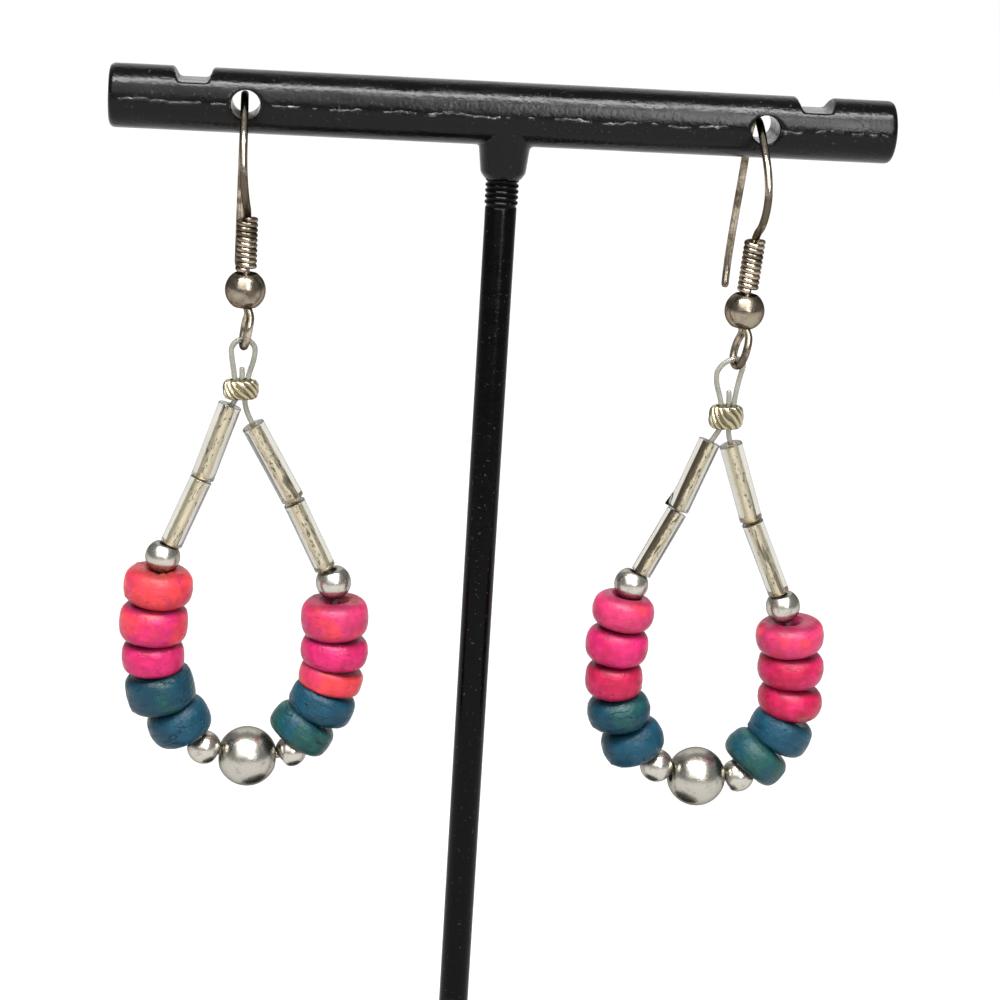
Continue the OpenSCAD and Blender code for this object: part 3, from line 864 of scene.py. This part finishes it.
def make_pole(paint):
    """A plain rod with a screw thread at its top, drawn as rings."""
    low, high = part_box("pole")
    middle = (low + high) / 2
    crest = (high.x - low.x) / 2
    rod, root, flank = crest - 0.08 * MM, crest - 0.17 * MM, crest - 0.03 * MM
    pitch, rings = 0.5 * MM, 10
    ring = ((root, 0.02), (flank, 0.14), (crest, 0.21), (crest, 0.27), (flank, 0.34),
            (root, 0.46))
    points = [(0, high.z), (root, high.z)]
    for k in range(rings):
        top = high.z - k * pitch
        points += [(r, top - down * MM) for r, down in ring]
    end = high.z - rings * pitch
    points += [(root, end - 0.1 * MM), (rod - 0.03 * MM, end - 0.17 * MM), (rod, end - 0.25 * MM),
               (rod, low.z + 0.1 * MM), (rod - 0.1 * MM, low.z), (0, low.z)]
    place = Matrix.Translation((middle.x, middle.y, 0))
    hand_over(turned("pole", points, place, paint, steps=64), "pole")


def make_foot(paint):
    """A round plate with a low collar, and a blind hole for the pole."""
    low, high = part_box("base")
    r = (high.x - low.x) / 2
    collar_h, collar_r, hole_r, hole_floor = 1.2 * MM, 3.5 * MM, 1.45 * MM, 1.0 * MM
    edge, small_edge, chamfer = 0.8 * MM, 0.3 * MM, 0.1 * MM
    deck = high.z - collar_h
    points = [(hole_r, hole_floor), (hole_r, high.z - chamfer), (hole_r + chamfer, high.z)]
    points += arc(collar_r - small_edge, high.z - small_edge, small_edge, 90, 10, 5)
    points += [(collar_r + 0.55 * MM, deck + 0.08 * MM), (collar_r + 0.8 * MM, deck)]
    points += arc(r - edge, deck - edge, edge, 90, 0, 8)
    points += arc(r - small_edge, small_edge, small_edge, 0, -90, 4)
    points += [(0, 0), (0, hole_floor)]
    piece = turned("foot", points, Matrix.Identity(4), paint, steps=160)
    hand_over(piece, "base")


class EARRINGS_OT_stand(bpy.types.Operator):
    """Makes the bar, the pole and the round foot"""
    bl_idname = "earrings.stand"
    bl_label = "T-Bar Stand"

    def execute(self, context):
        make_bar(black_paint("glossy_black", shine=0.18, wave=1.6, depth=0.035 * MM))
        make_flash(seam_plastic())
        paint = black_paint("satin_black", shine=0.08, wave=0.2, depth=0.02 * MM)
        make_pole(paint)
        make_foot(paint)
        return {"FINISHED"}


def wind_coil(side, metal):
    """The coil of fine wire, its lower end sunk into the ball."""
    node = side + "_hook_coil"
    seat = Seat(node, long=True)
    wire, sink = 0.25 * MM, 0.22 * MM

    def build(raw):
        run_tree(raw, winder_tree(), {
            "Turns": float(settings().wire.coil_turns), "Radius": seat.radius - wire,
            "Height": 2 * (seat.half - wire) + sink, "Wire": wire, "Material": metal})

    piece = bake(node + "_wound", bpy.data.meshes.new(node), build)
    face_outwards(piece.data)
    piece.data.transform(seat.matrix() @ Matrix.Translation((0, 0, -sink / 2)))
    hand_over(piece, node)


def turn_hook_ball(side, metal, seed):
    node = side + "_hook_ball"
    seat = Seat(node)
    r, bore = seat.radius, 0.93 * MM
    open_at = degrees(acos(bore / r))
    top = arc(0, 0, r, 0, open_at - LIP_ARC, 22)
    top += [(bore + 0.02 * MM, seat.half - 0.01 * MM), (bore, seat.half - 0.1 * MM)]
    piece = turned(node + "_turned", top + flipped(top), seat.matrix(), metal,
                   uneven=0.02 * MM, lump=1.6, seed=seed)
    hand_over(piece, node)


class EARRINGS_OT_ear_wires(bpy.types.Operator):
    """Makes both ear wires with their coils and balls"""
    bl_idname = "earrings.ear_wires"
    bl_label = "Ear Wires"

    def execute(self, context):
        metal = tarnished_wire()
        shine = tarnished_ball()
        for k, side in enumerate(SIDES):
            draw_wire(side + "_ear_hook", metal)
            wind_coil(side, metal)
            turn_hook_ball(side, shine, k + 3)
        return {"FINISHED"}


def make_crimp(side, metal):
    """A flattened barrel with slanted grooves, pinched towards its ends."""
    node = side + "_crimp"
    grooves = settings().thread.grooves
    low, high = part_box(node)
    middle, size = (low + high) / 2, high - low
    joint = next(j for j in frame["joints"] if j["child"] == side + "_drop")
    run = Vector(joint["axis"]).normalized()
    # A little inside the node's box, and the slot for both threads through it
    half, wide, thick = size.z / 2 * 0.97, size.x / 2 / run.x * 0.965, 0.98 * MM
    slot_w, slot_t, slot_h = 0.93 * MM, 0.33 * MM, 0.93
    around, rings = 208, 32
    twist = 0.55 * grooves
    angles = [2 * pi * j / around for j in range(around)]
    verts, depths = [], []
    for i in range(rings + 1):
        up = -1 + 2 * i / rings
        rim = max(0.0, 1 - abs(up) ** 2.6) ** 0.5
        for a in angles:
            dip = (0.5 + 0.5 * cos(grooves * a + twist * up)) ** 1.6
            swell = (0.70 + 0.30 * rim) * (1 - 0.15 * dip * (0.3 + 0.7 * rim))
            verts.append((wide * swell * bowed(cos(a), 0.8),
                          thick * swell * bowed(sin(a), 0.8), half * up))
            depths.append(dip)
    for up in (1, -1):
        for a in angles:
            verts.append((slot_w * bowed(cos(a), 0.6), slot_t * bowed(sin(a), 0.8),
                          half * up * slot_h))
            depths.append(1.0)
    # The rows run up the outside, down the slot and back to the first
    rows = rings + 3
    faces = []
    for i in range(rows):
        here, after = i * around, (i + 1) % rows * around
        for j in range(around):
            n = (j + 1) % around
            faces.append((here + j, here + n, after + n, after + j))
    mesh = new_mesh(node + "_fluted", verts, faces, metal)
    mark(mesh, "groove", depths)
    own = mesh.attributes.new("turned", "FLOAT_VECTOR", "POINT")
    own.data.foreach_set("vector", (np.array(verts) * TO_MM).ravel())
    mesh.shade_smooth()
    face_outwards(mesh)
    turn = atan2(run.y, run.x)
    mesh.transform(Matrix.Translation(middle) @ Matrix.Rotation(turn, 4, "Z"))
    hand_over(add_object(node + "_fluted", mesh), node)


class EARRINGS_OT_threads(bpy.types.Operator):
    """Makes both nylon threads and their crimps"""
    bl_idname = "earrings.threads"
    bl_label = "Threads and Crimps"

    def execute(self, context):
        line = nylon()
        metal = fluted_plating()
        for side in SIDES:
            draw_wire(side + "_thread", line)
            make_crimp(side, metal)
        return {"FINISHED"}


def make_bugle(node, glass, lining, seed):
    """A cut glass tube, and a sleeve of foil in its bore that spreads at the cut ends."""
    seat = Seat(node, long=True)
    r, half, bore, edge = seat.radius, seat.half, 0.37 * MM, 0.07 * MM
    side = [(r, half * (-0.9 + 1.8 * i / 12)) for i in range(13)]
    lower = arc(r - edge, -half + edge, edge, -90, 0, 4)
    upper = arc(r - edge, half - edge, edge, 0, 90, 4)
    profile = [(bore, -half)] + lower + side + upper + [(bore, half)]
    profile += [(bore, -z) for _, z in side]
    tube = turned(node + "_tube", profile, seat.matrix(), glass, steps=48,
                  uneven=0.004 * MM, lump=2.5, seed=seed)
    if node == SPURRED:
        raise_spur(tube, seat)
    hand_over(tube, node)
    outside, inside, rim = bore + 0.02 * MM, bore - 0.08 * MM, 0.78 * r
    tall, foil = half - 0.02 * MM, 0.035 * MM
    coat = [(rim, -tall), (rim, -tall + foil), (outside, -tall + foil)]
    coat += flipped(coat) + [(inside, tall), (inside, -tall)]
    sleeve = turned(node + "_lining", coat, seat.matrix(), lining, steps=40, seed=seed)
    hand_over(sleeve, node, replaces=False)


def raise_spur(tube, seat):
    """A splinter left on the tube's left side where the glass was cut."""
    back = seat.matrix().inverted()
    left = seat.matrix().to_3x3() @ Vector((0, -1, 0))
    tall, proud, narrow = 1.7 * MM, 0.34 * MM, 8
    for v in tube.data.vertices:
        here = back @ v.co
        if here.xy.length < 0.8 * seat.radius:
            continue
        lean = max(0.0, -here.y / here.xy.length) ** narrow
        rise = max(0.0, 1 - (here.z + seat.half) / tall)
        v.co += left * proud * lean * rise


class EARRINGS_OT_glass_beads(bpy.types.Operator):
    """Makes the silver-lined glass bugle beads"""
    bl_idname = "earrings.glass_beads"
    bl_label = "Glass Beads"

    def execute(self, context):
        glass = clear_glass()
        clean = silver_lining("silver_lining", stained=False)
        dark = silver_lining("stained_lining", stained=True)
        for k, side in enumerate(SIDES):
            for count in range(1, 5):
                node = f"{side}_bugle_{count}"
                make_bugle(node, glass, dark if node in DARK_SIDED else clean, 10 * k + count + 43)
        return {"FINISHED"}


def turn_metal_ball(side, name, bed, plating, seed):
    """A drilled ball; the end in a wooden bead's dish keeps more of its round."""
    node = f"{side}_{name}"
    seat = Seat(node)
    r, bore, bevel = seat.radius, 0.62 * MM, 0.05 * MM
    ends = [seat.half, seat.half]
    if bed:
        toward = (Seat(f"{side}_{bed}").centre - seat.centre).dot(seat.axis)
        ends[0 if toward > 0 else 1] = sqrt(r * r - (bore + 0.12 * MM) ** 2)
    top, bottom = (half_ball(r, bore, bevel, end) for end in ends)
    piece = turned(node + "_turned", top + flipped(bottom), seat.matrix(), plating,
                   uneven=0.015 * MM, lump=1.5, seed=seed)
    hand_over(piece, node)


def half_ball(r, bore, bevel, end):
    lip = sqrt(r * r - end * end)
    points = arc(0, 0, r, 0, degrees(asin(end / r)) - LIP_ARC, 20)
    return points + [(lip - 0.03 * MM, end), (bore + bevel, end), (bore, end - bevel)]


class EARRINGS_OT_metal_beads(bpy.types.Operator):
    """Makes the bright metal beads"""
    bl_idname = "earrings.metal_beads"
    bl_label = "Metal Beads"

    def execute(self, context):
        small = bright_plating("bright_plating", by=1.0)
        # The big bead gets a darker copy of the same plating, painted shade
        big = bright_plating("big_plating", by=0.88)
        for k, side in enumerate(SIDES):
            for count, (name, bed) in enumerate(BEDS.items()):
                turn_metal_ball(side, name, bed, small if bed else big, 20 * k + count)
        return {"FINISHED"}


def turn_rondelle(side, count, wood, seed):
    """A rounded ring with a dished mouth, a little uneven, nicked and in places chipped."""
    node = f"{side}_wood_{count}"
    seat = Seat(node)
    r, half, bore = seat.radius, seat.half, 0.72 * MM
    edge, belly, lip = (RIM[side] + 0.07 * (seed % 4)) * half, 0.05 * MM, 0.22 * MM
    mouth, deep, steps = 1.28 * MM, 0.5 * MM, 6
    top = [(r, 0), (r - belly * 0.3, (half - edge) * 0.6)]
    top += arc(r - belly - edge, half - edge, edge, 8, 88, 14)
    top += arc(mouth + lip * 0.8, half - lip, lip, 90, 140, 4)
    top += [(bore + (mouth - bore) * (1 - t) ** 1.3 * 0.86, half - lip * 0.3 - deep * t)
            for t in [(i + 1) / steps for i in range(steps)]]
    ends = wood_ends(side, count, seat)
    profile = [(x, z * ends[int(z > 0)] / half) for x, z in top + flipped(top)]
    piece = turned(node + "_turned", profile, seat.matrix(), wood,
                   uneven=settings().beads.unevenness, lump=2.4, nick=0.09 * MM, seed=seed)
    # How near each point is to its end, for the painted shade where beads meet
    back = seat.matrix().inverted()
    heights = [(back @ v.co).z for v in piece.data.vertices]
    mark(piece.data, "end", [abs(z) / ends[int(z > 0)] for z in heights])
    if node in CHIPPED:
        knock_corner(piece, seat, *CHIPPED[node])
    hand_over(piece, node)


def wood_ends(side, count, seat):
    """Heights of the bead's lower and upper ends, fuller towards its wooden neighbours."""
    ends = [seat.half, seat.half]
    for other in (count - 1, count + 1):
        if other in (0, len(WOOD_ORDER[side]) + 1) or {count, other} == STRAND_ENDS:
            continue
        beside = Seat(f"{side}_wood_{other}")
        apart = beside.centre - seat.centre
        play = apart.length - seat.half - beside.half
        ends[apart.dot(seat.axis) > 0] += PRESSED * play
    return ends


def knock_corner(piece, seat, place, reach):
    """Knocks a ragged corner off a bead and marks the bared wood."""
    centre = seat.matrix() @ (Vector(place) * MM)
    ragged, rough, deep = 1100, 2300, -0.2 * MM
    bared, shift = [], []
    for v in piece.data.vertices:
        edge = 1 + 0.6 * noise.noise(v.co * ragged)
        bare = min(1.0, max(0.0, 2.2 * (edge - (v.co - centre).length / (reach * MM))))
        bared.append(bare)
        shift.append(v.normal * (deep * bare * (0.6 + noise.noise(v.co * rough))))
    for v, by in zip(piece.data.vertices, shift):
        v.co += by
    mark(piece.data, "bare", bared)


class EARRINGS_OT_wooden_beads(bpy.types.Operator):
    """Makes the dyed wooden rondelles"""
    bl_idname = "earrings.wooden_beads"
    bl_label = "Wooden Beads"

    def execute(self, context):
        woods = {name: dyed_wood(name) for name in DYED_WOODS}
        for k, side in enumerate(SIDES):
            for count, dye in enumerate(WOOD_ORDER[side], 1):
                turn_rondelle(side, count, woods[dye], 31 * k + 3 * count)
        return {"FINISHED"}


class EARRINGS_PT_panel(bpy.types.Panel):
    """Lists what the earrings are made of"""
    bl_label = "Drop Earrings"
    bl_idname = "EARRINGS_PT_panel"
    bl_space_type = "VIEW_3D"
    bl_region_type = "UI"
    bl_category = "Earrings"

    def draw(self, context):
        for name, operators in STEPS.items():
            for operator in operators:
                self.layout.operator(operator.bl_idname)
            group = getattr(settings(), name)
            for key in group.__annotations__:
                self.layout.prop(group, key)


# The operators that use each group of settings
STEPS = {
    "stage": (EARRINGS_OT_stage,),
    "stand": (EARRINGS_OT_stand,),
    "wire": (EARRINGS_OT_ear_wires,),
    "thread": (EARRINGS_OT_threads,),
    "beads": (EARRINGS_OT_glass_beads, EARRINGS_OT_metal_beads, EARRINGS_OT_wooden_beads),
}
CLASSES = (
    StandSettings, WireSettings, ThreadSettings, BeadSettings, StageSettings, EarringSettings,
    *(operator for operators in STEPS.values() for operator in operators), EARRINGS_PT_panel,
)


def register():
    for cls in CLASSES:
        bpy.utils.register_class(cls)
    bpy.types.Scene.earrings = PointerProperty(type=EarringSettings)


def unregister():
    del bpy.types.Scene.earrings
    for cls in reversed(CLASSES):
        bpy.utils.unregister_class(cls)


def main():
    register()
    bpy.ops.earrings.stage()
    bpy.ops.earrings.stand()
    bpy.ops.earrings.ear_wires()
    bpy.ops.earrings.threads()
    bpy.ops.earrings.glass_beads()
    bpy.ops.earrings.metal_beads()
    bpy.ops.earrings.wooden_beads()
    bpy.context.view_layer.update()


if __name__ == "__main__":
    main()
